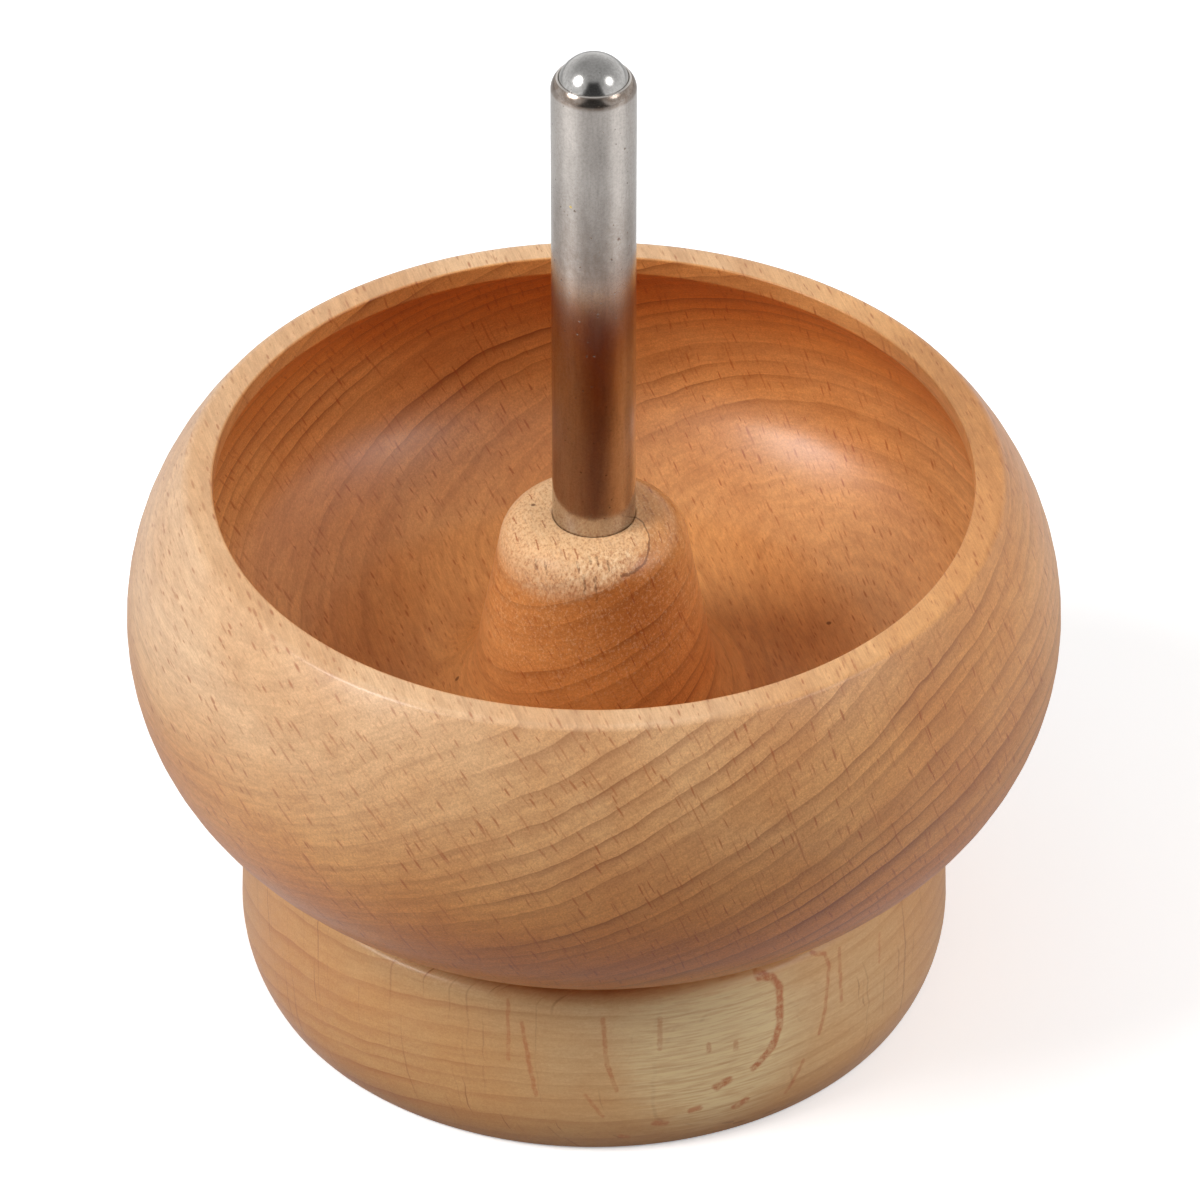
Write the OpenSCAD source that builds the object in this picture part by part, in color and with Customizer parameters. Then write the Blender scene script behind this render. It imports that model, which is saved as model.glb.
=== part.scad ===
// Bead spinner: a turned bowl that spins on a steel spindle over a turned base
// Millimetres, +Z up, origin at the centre of the base's underside

/* [Base] */
// Widest diameter of the base
base_d = 87.6; // [80:0.1:110]
// Thickness of the base
base_h = 24; // [20:0.5:40]
// Height of the base's widest ring above the table
base_widest_h = 7; // [5:0.5:9]
// Radius of the base's side in profile, above the widest ring
base_side_r = 105; // [60:1:300]
// Radius of the base's side in profile, below the widest ring
base_tuck_r = 14; // [10:0.5:30]
// Rounding of the base's top edge
base_top_round = 1.8; // [0.5:0.1:4]
// Rounding of the base's bottom edge
base_foot_round = 1; // [0.3:0.1:3]

/* [Bowl] */
// Widest outside diameter of the bowl
bowl_d = 113; // [108:0.5:125]
// Height of the bowl from its foot to its rim
bowl_h = 45.4; // [42:0.1:60]
// Height of the bowl's widest ring above its foot
bowl_widest_h = 25; // [24:0.5:30]
// Radius of the outside in profile, above the widest ring
bowl_upper_r = 31.5; // [28:0.5:45]
// Radius of the outside in profile, below the widest ring
bowl_lower_r = 26.9; // [20:0.1:32]
// Angle below the widest ring where the outside turns in to the foot
bowl_lower_sweep = 43.5; // [30:0.5:50]
// Rounding of the rim's outer edge
rim_round = 1.2; // [0.4:0.1:2]
// Air gap between the bowl's foot and the base
bowl_gap = 0.8; // [0.4:0.1:3]

/* [Hollow] */
// Width of the rim's flat face
rim_w = 2.9; // [2:0.1:6]
// Height of the straight lip inside the rim
mouth_lip_h = 2.4; // [1:0.1:5]
// Thickness of the wall between the bowl's and the hollow's widest rings
wall_t = 5.7; // [5:0.1:8]
// Depth of the hollow's widest ring below the rim
hollow_widest_depth = 16; // [12:0.5:18]
// Radius of the hollow's side in profile, below its widest ring
hollow_side_r = 13; // [8:0.5:16]
// Angle below the widest ring where the hollow turns in to its floor
hollow_side_sweep = 45; // [35:1:55]
// Thickness of the wood under the hollow
floor_t = 12.6; // [8:0.1:14]

/* [Cone] */
// Height of the centre cone above the hollow's floor
cone_h = 27.1; // [20:0.1:30]
// Diameter of the cone's flat top
cone_top_d = 14; // [12:0.5:18]
// Rounding of the cone's shoulder
cone_shoulder_r = 4.4; // [2:0.1:6]
// Slope of the cone's side from upright
cone_taper = 10.3; // [6:0.1:14]
// Radius of the hollow curve at the cone's root
cone_root_r = 8; // [4:0.5:10]

/* [Spindle] */
// Outside diameter of the sleeve
sleeve_d = 10; // [9.6:0.1:11]
// Length of the sleeve above the cone's top
sleeve_reach = 62.3; // [40:0.1:80]
// Distance of the sleeve's lower end above the bowl's foot
sleeve_end_inset = 0.5; // [0:0.1:3]
// Chamfer inside the sleeve's lower end
sleeve_chamfer = 0.3; // [0.1:0.05:0.5]
// Radius of the rolled top in profile
crimp_r = 2.2; // [2:0.1:2.6]
// Height of the rolled lip above the ball's centre
lip_rise = 1.63; // [1.5:0.01:1.75]
// Diameter of the pivot ball
ball_d = 8.73; // [8.5:0.01:8.8]
// Play round the ball in the sleeve
ball_play = 0.035; // [0.01:0.005:0.05]

/* [Axle] */
// Running clearance between the rod and the sleeve's bore, on the radius
axle_clearance = 0.08; // [0.03:0.01:0.1]
// Play between the rod's tip and the ball
tip_play = 0.02; // [0:0.01:0.1]
// Chamfer round the rod's tip
tip_chamfer = 1.2; // [0.3:0.1:2]
// Depth of the tapped hole in the rod's foot
tap_depth = 13; // [12:0.5:20]
// Thickness of the wood that the screw clamps under the rod
web_t = 4; // [3:0.5:6]
// Diameter of the counterbore under the base
counterbore_d = 12; // [10:0.5:16]
// Depth of the counterbore
counterbore_h = 4.5; // [4:0.1:7]

/* [Screw] */
// Thread diameter of the screw
screw_d = 4; // [3:0.5:5]
// Length of the screw under its head
screw_l = 16; // [12:1:17]
// Clearance round the screw in the wood, on the radius
screw_clearance = 0.25; // [0.1:0.05:0.5]
// Diameter of the screw's head
head_d = 8; // [7:0.5:8.5]
// Height of the screw's head
head_h = 2.6; // [2:0.1:3]
// Rounding of the head's edge
head_round = 1; // [0.3:0.1:1.5]
// Width across the cross recess
recess_l = 4.4; // [3:0.1:5.5]
// Width of each slot of the cross recess
recess_w = 0.9; // [0.6:0.1:1.2]
// Depth of the cross recess
recess_h = 1.6; // [0.8:0.1:1.8]
// Outside diameter of the washer
washer_d = 9; // [8.5:0.1:9.8]
// Thickness of the washer
washer_t = 0.8; // [0.5:0.1:1]

/* [Hidden] */

// Degrees between two neighbouring points of a curve in profile
arc_step = 5;
// Sides of a full round
$fn = 96;
// Overlap of a cut past the face it opens
cut_past = 0.1;

foot_z = base_h + bowl_gap;
bowl_widest_z = foot_z + bowl_widest_h;
rim_z = foot_z + bowl_h;
floor_z = foot_z + floor_t;
cone_top_z = floor_z + cone_h;
lip_z = cone_top_z + sleeve_reach;
sleeve_end_z = foot_z + sleeve_end_inset;
ball_z = lip_z - lip_rise;

sleeve_r = sleeve_d / 2;
ball_r = ball_d / 2;
sleeve_bore_r = ball_r + ball_play;
axle_r = sleeve_bore_r - axle_clearance;
axle_foot_z = counterbore_h + web_t;
axle_tip_z = ball_z - ball_r - tip_play;
head_z = counterbore_h - washer_t;
screw_r = screw_d / 2;
screw_hole_r = screw_r + screw_clearance;

// Points along an arc round c, from angle a0 to angle a1
function arc(c, r, a0, a1) =
    let (n = max(2, ceil(abs(a1 - a0) / arc_step)))
    [for (i = [0 : n]) let (a = a0 + (a1 - a0) * i / n) c + r * [cos(a), sin(a)]];

// Centre of a rounding f between the level z and the inside of a circle of radius r round c
function edge_centre(c, r, f, z) =
    let (dz = z - c[1], reach = r - f)
    [c[0] + sqrt(reach * reach - dz * dz), z];

// Direction from a to b, in degrees
function heading(a, b) = atan2(b[1] - a[1], b[0] - a[0]);

// Centres of the bowl's upper curve and of its rim's rounding, in profile
upper_centre = [bowl_d / 2 - bowl_upper_r, bowl_widest_z];
rim_centre = edge_centre(upper_centre, bowl_upper_r, rim_round, rim_z - rim_round);

// Outside of the base from the table up to its top face
function base_outline() =
    let (
        low = [base_d / 2 - base_tuck_r, base_widest_h],
        high = [base_d / 2 - base_side_r, base_widest_h],
        foot = edge_centre(low, base_tuck_r, base_foot_round, base_foot_round),
        top = edge_centre(high, base_side_r, base_top_round, base_h - base_top_round)
    )
    concat(
        arc(foot, base_foot_round, -90, heading(low, foot)),
        arc(low, base_tuck_r, heading(low, foot), 0),
        arc(high, base_side_r, 0, heading(high, top)),
        arc(top, base_top_round, heading(high, top), 90)
    );

// Outside of the bowl from its foot up to the rim's face
function bowl_outline() =
    let (
        s = bowl_lower_sweep,
        foot_r = (bowl_widest_h - bowl_lower_r * sin(s)) / (1 - sin(s)),
        low = [bowl_d / 2 - bowl_lower_r, bowl_widest_z],
        foot = low + (bowl_lower_r - foot_r) * [cos(s), -sin(s)]
    )
    concat(
        arc(foot, foot_r, -90, -s),
        arc(low, bowl_lower_r, -s, 0),
        arc(upper_centre, bowl_upper_r, 0, heading(upper_centre, rim_centre)),
        arc(rim_centre, rim_round, heading(upper_centre, rim_centre), 90)
    );

// Hollow of the bowl from the mouth down to the floor, then up the cone to the sleeve
function hollow_outline() =
    let (
        lip_low_z = rim_z - mouth_lip_h,
        widest_z = rim_z - hollow_widest_depth,
        hollow_r = bowl_d / 2 - wall_t,
        mouth_r = rim_centre[0] - rim_w,
        dx = hollow_r - mouth_r,
        dz = lip_low_z - widest_z,
        under_r = (dx * dx + dz * dz) / (2 * dx),
        under = [hollow_r - under_r, widest_z],
        side = [hollow_r - hollow_side_r, widest_z],
        s = hollow_side_sweep,
        bottom_r = (widest_z - floor_z - hollow_side_r * sin(s)) / (1 - sin(s)),
        bottom = side + (hollow_side_r - bottom_r) * [cos(s), -sin(s)],
        shoulder = [cone_top_d / 2, cone_top_z - cone_shoulder_r],
        flank = shoulder + cone_shoulder_r * [cos(cone_taper), sin(cone_taper)],
        root_z = floor_z + cone_root_r,
        root_x = flank[0] + (cone_root_r + (flank[1] - root_z) * sin(cone_taper)) / cos(cone_taper)
    )
    concat(
        [[mouth_r, rim_z]],
        arc(under, under_r, asin(dz / under_r), 0),
        arc(side, hollow_side_r, 0, -s),
        arc(bottom, bottom_r, -s, -90),
        arc([root_x, root_z], cone_root_r, 270, 180 + cone_taper),
        arc(shoulder, cone_shoulder_r, cone_taper, 90)
    );

module base() {
    color("burlywood")
    rotate_extrude()
    polygon(concat(
        [
            [axle_r, base_h],
            [axle_r, axle_foot_z],
            [screw_hole_r, axle_foot_z],
            [screw_hole_r, counterbore_h],
            [counterbore_d / 2, counterbore_h],
            [counterbore_d / 2, 0]
        ],
        base_outline()
    ));
}

module axle_rod() {
    color("silver")
    rotate_extrude()
    polygon([
        [screw_r, axle_foot_z],
        [axle_r, axle_foot_z],
        [axle_r, axle_tip_z - tip_chamfer],
        [axle_r - tip_chamfer, axle_tip_z],
        [0, axle_tip_z],
        [0, axle_foot_z + tap_depth],
        [screw_r, axle_foot_z + tap_depth]
    ]);
}

module axle_screw() {
    bottom_z = head_z - head_h;
    color("gainsboro")
    difference() {
        rotate_extrude()
        polygon(concat(
            [[0, bottom_z]],
            arc([head_d / 2 - head_round, bottom_z + head_round], head_round, -90, 0),
            [
                [head_d / 2, head_z],
                [screw_r, head_z],
                [screw_r, head_z + screw_l],
                [0, head_z + screw_l]
            ]
        ));
        for (turn = [0, 90])
            rotate([0, 0, turn])
            translate([-recess_l / 2, -recess_w / 2, bottom_z - cut_past])
            cube([recess_l, recess_w, recess_h + cut_past]);
    }
}

module axle_washer() {
    color("silver")
    translate([0, 0, head_z])
    difference() {
        cylinder(h = washer_t, d = washer_d);
        translate([0, 0, -cut_past])
        cylinder(h = washer_t + 2 * cut_past, r = screw_hole_r);
    }
}

module bowl() {
    color("tan")
    rotate_extrude()
    polygon(concat(
        [[sleeve_r, foot_z]],
        bowl_outline(),
        hollow_outline(),
        [[sleeve_r, cone_top_z]]
    ));
}

module spindle_sleeve() {
    crimp_in = sleeve_r - crimp_r;
    lip_in = asin(lip_rise / sleeve_bore_r);
    lip_out = asin(lip_rise / crimp_r);
    color("lightgray")
    rotate_extrude()
    polygon(concat(
        [
            [sleeve_bore_r + sleeve_chamfer, sleeve_end_z],
            [sleeve_r, sleeve_end_z]
        ],
        arc([crimp_in, ball_z], crimp_r, 0, lip_out),
        arc([0, ball_z], sleeve_bore_r, lip_in, 0),
        [[sleeve_bore_r, sleeve_end_z + sleeve_chamfer]]
    ));
}

module pivot_ball() {
    color("white")
    translate([0, 0, ball_z])
    sphere(d = ball_d);
}

base();
axle_rod();
axle_screw();
axle_washer();
bowl();
spindle_sleeve();
pivot_ball();
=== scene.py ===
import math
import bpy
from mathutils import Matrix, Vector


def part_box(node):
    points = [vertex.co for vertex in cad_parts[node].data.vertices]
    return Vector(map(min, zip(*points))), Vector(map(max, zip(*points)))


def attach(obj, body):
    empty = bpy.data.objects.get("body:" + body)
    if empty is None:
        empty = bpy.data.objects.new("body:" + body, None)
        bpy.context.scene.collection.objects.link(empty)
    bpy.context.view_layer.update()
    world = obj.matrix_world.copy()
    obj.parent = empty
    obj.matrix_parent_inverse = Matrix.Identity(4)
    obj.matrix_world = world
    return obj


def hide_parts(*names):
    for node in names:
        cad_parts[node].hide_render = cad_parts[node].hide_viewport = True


bl_info = {
    "name": "Bead spinner",
    "version": (1, 0, 0),
    "blender": (4, 5, 0),
    "location": "View3D > Sidebar > Bead spinner",
    "description": "Builds a turned beech bead spinner on its steel spindle, with a studio round it",
    "category": "Add Mesh",
}

import bmesh
import bpy
from bpy.props import FloatProperty, FloatVectorProperty, PointerProperty
from mathutils import Vector

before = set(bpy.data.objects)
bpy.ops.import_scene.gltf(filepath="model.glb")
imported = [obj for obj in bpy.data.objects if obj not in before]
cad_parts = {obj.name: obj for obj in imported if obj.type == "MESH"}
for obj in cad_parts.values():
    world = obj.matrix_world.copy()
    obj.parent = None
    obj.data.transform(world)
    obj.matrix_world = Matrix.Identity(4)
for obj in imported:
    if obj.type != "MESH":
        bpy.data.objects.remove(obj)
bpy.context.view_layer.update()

MM = 0.001
# Sides of a full round, and the angle between two points of a curve in profile
ROUND_SIDES = 256
ARC_STEP = 5
# Two faces that meet at more than this angle have a corner to soften, in this many steps
CORNER_ANGLE = math.radians(25)
CORNER_STEPS = 3
# Points closer than this, in metres, are one
SAME_POINT = 1e-7
BALL_SPLITS = 6

# Noise in the wood: its stretch, detail and roughness. The first four lie along the log, the next
# two run round the pith, and the others follow the piece
SWAY = ((0.022, 0.008, 0.022), 1.0, 0.5)
RIPPLE = ((0.16, 0.05, 0.16), 2.0, 0.6)
FIBRE = ((4.2, 0.3, 4.2), 3.0, 0.75)
CLOUD = ((0.07, 0.022, 0.07), 3.0, 0.55)
SHEEN = ((1.2, 0.45, 0.25), 3.0, 0.6)
STREAK = ((1.7, 0.12, 0.035), 3.0, 0.65)
RAGGED = ((0.9, 0.9, 0.9), 4.0, 0.7)
FUZZ = ((3.2, 2.0, 2.4), 3.0, 0.8)
FRAY = ((2.4, 1.6, 0.9), 4.0, 0.75)
GRIT_SCALE = 4.0
# How far sway and ripple bend the growth rings, in millimetres
SWAY_BEND = 7
RIPPLE_BEND = 1.0
# Years by which the spacing of the rings wanders, and how strong their late wood is
RING_WANDER = 2.4
LATE_STRENGTH = 1.3
# Half width of the long rays, in millimetres
LINE_WIDTH = 0.11
# How much of the ring's colour each kind of unevenness brings
SEASON_SHARE = 0.2
STREAK_SHARE = 0.14
SHEEN_SHARE = 0.14
FIBRE_SHARE = 0.2
GRIT_SHARE = 0.2
# Gloss of oiled beech: bare, what the fibres add, and the coat of oil
WOOD_ROUGHNESS = 0.38
FIBRE_ROUGHNESS = 0.14
WOOD_SPECULAR = 0.2
OIL_COAT = 0.6
OIL_ROUGHNESS = 0.3
# Strength and depth in millimetres of the fibres' relief
WOOD_RELIEF = (0.4, 0.1)
# Painted shade: the wood's tint deepens where less light falls. Where that starts, where it is
# full, and from which to which tone. For the hollow by how far a face turns outwards, for the
# middle by the distance from the axis, for the right by the place across, and for undersides by
# how far a face turns up
HOLLOW_SHADE = (0.1, -0.35, 0.0, 0.75)
MIDDLE_SHADE = (46 * MM, 34 * MM, 0.0, 0.92)
RIGHT_SHADE = (5 * MM, 48 * MM, 0.0, 0.75)
UNDERSIDE_SHADE = (0.45, -0.7, 0.0, 1.75)
# Where the plain side starts and is full: across, out from the axis, and by how far a face turns
# outwards
PLAIN_LEFT = (15 * MM, -30 * MM)
PLAIN_WALL = (25 * MM, 38 * MM)
PLAIN_FACING = (-0.1, 0.3)

# Noise in the steel, like that in the wood
SMUDGE = ((0.35, 0.35, 0.12), 4.0, 0.6)
DRAWN = ((3.5, 3.5, 0.3), 3.0, 0.6)
STEEL_GRIT_SCALE = 3.2
# Colour of stains and pits in the steel, how bright its smudges are, and its relief
STAIN = (0.08, 0.06, 0.045, 1)
SMUDGE_SHARE = 0.84
STEEL_RELIEF = (0.3, 0.03)
# Height in millimetres where the sleeve starts to roll in, and the sleeve's band of painted
# reflection, brown like the bowl that it mirrors, as heights where it starts, is full, starts to
# end and ends
CRIMP_LOW = 125.1
CRIMP_FADE = 0.5
PAINTED_REFLECTION_BAND = (99, 103, 105, 116)
# Depths under the sleeve's top where the painted highlight on the lip starts and is full
LIP_DEPTHS = (0.12, 0.04)
# Specks on the sleeve, with their size and colour
STEEL_MARKS = (
    ((-2.66, -4.23, 111.6), 0.22, (0.75, 0.58, 0.22)),
    ((2.9, -4.1, 107.0), 0.25, (0.3, 0.25, 0.22)),
    ((3.6, -3.5, 119.2), 0.2, (0.3, 0.26, 0.22)),
    ((-2.2, -4.5, 111.2), 0.2, (0.3, 0.26, 0.22)),
)
# Marks in the bowl's wood, in millimetres: the cone's top, the ring round the pith where its wood
# has torn loose, and seen from above the crack, and where dashes and pits start on the cap
CONE_TOP = (0, 0, 64.5)
LOOSE_RING = 266.6
CRACK = (
    (4.9, -0.9), (5.9, -2.1), (6.6, -4.4), (6.6, -6.5), (6.1, -8.2), (4.9, -9.5), (3.2, -10.2),
)
DASHES = (
    (-7.8, 4.2), (-4.9, -5.0), (-3.7, -7.2), (-2.3, -7.3), (-9.7, 0.1), (-9.5, -2.8),
    (4.4, -5.0), (7.7, -3.5), (8.8, -1.5), (6.6, 5.6), (-6.2, -1.6), (-7.0, -5.2),
)
PITS = (
    (-2.0, -9.1), (-0.6, -8.5), (0.3, -8.6), (1.6, -9.0), (-1.3, -10.4), (0.1, -10.6),
    (-5.8, -8.4), (-7.0, -7.5),
)
# Length and half width of dashes and pits, and half width of the crack
DASH_SIZE = (1.5, 0.12)
PIT_SIZE = (0.9, 0.2)
CRACK_WIDTH = 0.14
# Where the cap, the cone's side, the cap's front, the bare wood and the torn wood start and are
# full: two distances from the cone's top, a place to the front, and two distances from the pith
CAP_REACH = (13.5, 11.5)
SIDE_REACH = (27, 15)
CAP_FRONT = (-6.2, -8.2)
BARE_RINGS = (LOOSE_RING + 0.9, LOOSE_RING + 2.4)
TORN_RINGS = (LOOSE_RING + 5.4, LOOSE_RING + 4.0)
# How far the edge of the bare wood wanders
RAGGED_REACH = 2.4
# Dark specks, each with its size
SPECKS = (
    ((-7.3, 1.5, 64.4), 0.35),
    ((-16.7, -0.6, 39.7), 0.45),
    ((29.0, 13.2, 37.6), 0.4),
)
# Broad rays on the base's front: half width, strength, and points as the distance round to the
# right of the front and the height, in millimetres
RIBBONS = (
    (0.55, 0.8, (
        (21.1, 23.4), (22.9, 22.8), (23.9, 21.0), (23.6, 15.5), (22.4, 12.6), (20.0, 10.5),
    )),
    (0.3, 0.55, ((29.2, 23.4), (31.0, 22.6), (31.5, 20.5), (30.5, 15.1), (29.5, 11.6))),
    (0.3, 0.5, ((33.4, 22.1), (33.1, 14.6))),
    (0.3, 0.45, ((27.0, 8.6), (24.6, 4.6))),
    (0.25, 0.4, ((40.9, 20.0), (40.4, 16.1))),
    (0.3, 0.5, ((1.1, 21.2), (1.5, 15.0), (2.7, 10.6))),
    (0.3, 0.5, ((-8.8, 20.0), (-7.0, 9.6))),
    (0.25, 0.4, ((-10.6, 22.8), (-10.4, 14.5))),
    (0.35, 0.4, ((8.1, 20.7), (8.0, 16.4))),
    (0.25, 0.4, ((-1.1, 10.0), (1.1, 6.7))),
    (0.6, 0.75, ((15.1, 9.1), (16.6, 9.7))),
    (0.45, 0.65, ((11.8, 6.3), (12.9, 6.4))),
    (0.5, 0.7, ((17.5, 5.2), (18.9, 5.8))),
    (0.5, 0.6, ((7.4, 5.0), (8.7, 4.8))),
    (0.4, 0.5, ((3.2, 2.9), (4.2, 2.7))),
    (0.35, 0.5, ((14.1, 15.8), (14.1, 15.0))),
    (0.35, 0.45, ((17.6, 15.2), (17.6, 14.2))),
)
# The pale patch round them, the wood's own figure, made stronger as painted light on the
# base's shaded front: its middle, and the distances where it starts and is full
PALE_MIDDLE = (15, 15, 0)
PALE_REACH = (15, 7)
# How many times closer the fine threads and lines lie up the base than round it
THREAD_SQUEEZE = 14.0
LINE_SQUEEZE = 9.0
# How far drawn lines shake, in millimetres
SHAKE = 0.55

# Where the floor's brightness changes, with painted shade in front and close round the object as
# polished metal sees it: cosines of the direction from straight ahead, and distances from the axis
# in metres
AHEAD = (0.45, 1.0)
BEHIND = (0.35, -0.4)
CLOSE = (0.132, 0.15)
FAR = (0.3, 0.8)
# Where the room's brightness changes, as shares of a direction's length: up, back, up at the back,
# to the front, and the sides, lean and top of the dark gap between the soft boxes
OVER = (0.5, 0.95)
BACK = (0.2, 0.8)
BACK_RISE = (0.1, 0.5)
FRONT = (-0.05, -0.2)
GAP_SIDES = (0.6, 0.42)
GAP_LEAN = 1.3
GAP_TOP = (0.86, 0.72)
MIRROR_RISE = (0.0, 0.85)
# The glint lamps hang just inside the soft boxes
GLINT_REACH = 0.97
# Width of the camera's picture in millimetres, and the nearest thing that it sees, in metres
SENSOR = 36
NEAREST = 0.01

base_low, base_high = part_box("base")
bowl_low, bowl_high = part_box("bowl")
sleeve_low, sleeve_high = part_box("spindle_sleeve")
ball_low, ball_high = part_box("pivot_ball")
rod_low, rod_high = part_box("axle_rod")
washer_low, washer_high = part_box("axle_washer")


def length(name, about, millimetres):
    """A size that the user can change, given in millimetres"""
    return FloatProperty(
        name=name, description=about, default=millimetres * MM, unit="LENGTH", precision=5
    )


def degrees(name, about, value):
    """An angle that the user can change"""
    return FloatProperty(
        name=name, description=about, default=math.radians(value), subtype="ANGLE"
    )


def share(name, about, value):
    """A share from none to all that the user can change"""
    return FloatProperty(
        name=name, description=about, default=value, min=0, max=1, subtype="FACTOR"
    )


def number(name, about, value):
    """A plain number that the user can change"""
    return FloatProperty(name=name, description=about, default=value)


def colour(name, about, red, green, blue):
    """A colour that the user can change, given as a screen shows it"""
    linear = [(c / 255 / 12.92) if c <= 10 else ((c / 255 + 0.055) / 1.055) ** 2.4
              for c in (red, green, blue)]
    return FloatVectorProperty(
        name=name, description=about, default=linear, min=0, max=1, subtype="COLOR"
    )


class BaseSizes(bpy.types.PropertyGroup):
    diameter: length("Diameter", "Widest diameter", (base_high.x - base_low.x) / MM)
    height: length("Height", "Thickness", base_high.z / MM)
    widest_height: length("Widest height", "Height of the widest ring", 7)
    side_radius: length("Side radius", "Curve of the side above the widest ring", 105)
    tuck_radius: length("Tuck radius", "Curve of the side below the widest ring", 14)
    top_round: length("Top round", "Rounding of the top edge", 1.8)
    foot_round: length("Foot round", "Rounding of the bottom edge", 1)
    rod_hole: length("Rod hole", "Diameter of the hole for the rod", 2 * rod_high.x / MM)
    screw_hole: length("Screw hole", "Diameter of the hole for the screw", 4.5)
    counterbore: length("Counterbore", "Diameter of the counterbore underneath", 12)
    counterbore_depth: length("Counterbore depth", "Depth of the counterbore", 4.5)
    corner: length("Corner", "Softening of the cut edges", 0.15)


class BowlSizes(bpy.types.PropertyGroup):
    diameter: length("Diameter", "Widest diameter", (bowl_high.x - bowl_low.x) / MM)
    widest_height: length("Widest height", "Height of the widest ring above the foot", 25)
    upper_radius: length("Upper radius", "Curve of the outside above the widest ring", 31.5)
    lower_radius: length("Lower radius", "Curve of the outside below the widest ring", 26.9)
    lower_sweep: degrees("Lower sweep", "Angle where the outside turns in to the foot", 43.5)
    rim_round: length("Rim round", "Rounding of the rim's outer edge", 1.2)
    rim_width: length("Rim width", "Width of the rim's flat face", 2.9)
    lip_height: length("Lip height", "Height of the straight lip inside the rim", 2.4)
    wall: length("Wall", "Thickness of the wall at its widest", 5.7)
    hollow_depth: length("Hollow depth", "Depth of the hollow's widest ring below the rim", 16)
    side_radius: length("Side radius", "Curve of the hollow's side below its widest ring", 13)
    side_sweep: degrees("Side sweep", "Angle where the hollow turns in to its floor", 45)
    floor: length("Floor", "Thickness of the wood under the hollow", 12.6)
    cone_height: length("Cone height", "Height of the cone above the hollow's floor", 27.1)
    cone_top: length("Cone top", "Diameter of the cone's flat top", 14)
    shoulder_radius: length("Shoulder radius", "Rounding of the cone's shoulder", 4.4)
    taper: degrees("Taper", "Slope of the cone's side from upright", 10.3)
    root_radius: length("Root radius", "Curve at the cone's root", 8)
    corner: length("Corner", "Softening of the cut edges", 0.2)


class SpindleSizes(bpy.types.PropertyGroup):
    diameter: length("Diameter", "Outside diameter of the sleeve", 2 * sleeve_high.x / MM)
    ball: length("Ball", "Diameter of the pivot ball", 2 * ball_high.x / MM)
    ball_play: length("Ball play", "Play round the ball in the sleeve", 0.035)
    crimp_radius: length("Crimp radius", "Curve of the rolled top in profile", 2.2)
    corner: length("Corner", "Softening of the sleeve's ends", 0.08)
    tip_chamfer: length("Tip chamfer", "Chamfer round the rod's tip", 1.2)
    tap_depth: length("Tap depth", "Depth of the tapped hole in the rod's foot", 13)


class ScrewSizes(bpy.types.PropertyGroup):
    diameter: length("Diameter", "Thread diameter", 4)
    washer_hole: length("Washer hole", "Diameter of the washer's hole", 4.5)


class BeechFigure:
    """How a piece lies in the log, and what its beech looks like"""

    ring_spacing: number("Ring spacing", "Distance between growth rings, in millimetres", 2.8)
    ring_strength: share("Ring strength", "How dark the growth rings are", 0.85)
    crack: colour("Crack", "Colour of cracks and specks", 98, 50, 22)
    line_share: share("Line share", "How strong the long rays are beside the short ones", 0.7)


class BowlFigure(BeechFigure, bpy.types.PropertyGroup):
    light: colour("Light", "Colour of the palest wood", 248, 209, 166)
    dark: colour("Dark", "Colour of the darker wood", 234, 187, 140)
    ring: colour("Ring", "Colour of the late wood's lines", 128, 70, 38)
    ray: colour("Ray", "Colour of the rays", 164, 88, 44)
    # The deepening tint stands for end grain and for painted shade where less light falls
    deep: colour("Deep", "Tint of the wood that less light has bleached", 245, 208, 158)
    end_depth: share("End depth", "How much deeper the end grain is", 0.5)
    bare: colour("Bare", "Colour of the torn wood at the cone's top", 255, 229, 186)
    grain_turn: degrees("Grain turn", "Direction of the grain, from the right", 106)
    pith_side: number("Pith side", "Distance of the pith to the right, in millimetres", 110)
    pith_height: number("Pith height", "Height of the pith, in millimetres", -181)
    ray_strength: share("Ray strength", "How dark the rays are", 0.68)
    ray_reach: number("Ray reach", "Half length of a ray out from the pith, in millimetres", 1.2)
    ray_rise: number("Ray rise", "Half length of a ray along the grain, in millimetres", 0.8)
    ray_gap: number("Ray gap", "Distance between rays round the pith, in millimetres", 1.2)
    ray_width: number("Ray width", "Half width of a ray, in millimetres", 0.12)
    plain_side: share("Plain side", "How much of the rings is missing at the left", 0.7)
    seed: number("Seed", "Start of the random figure", 0)


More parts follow.
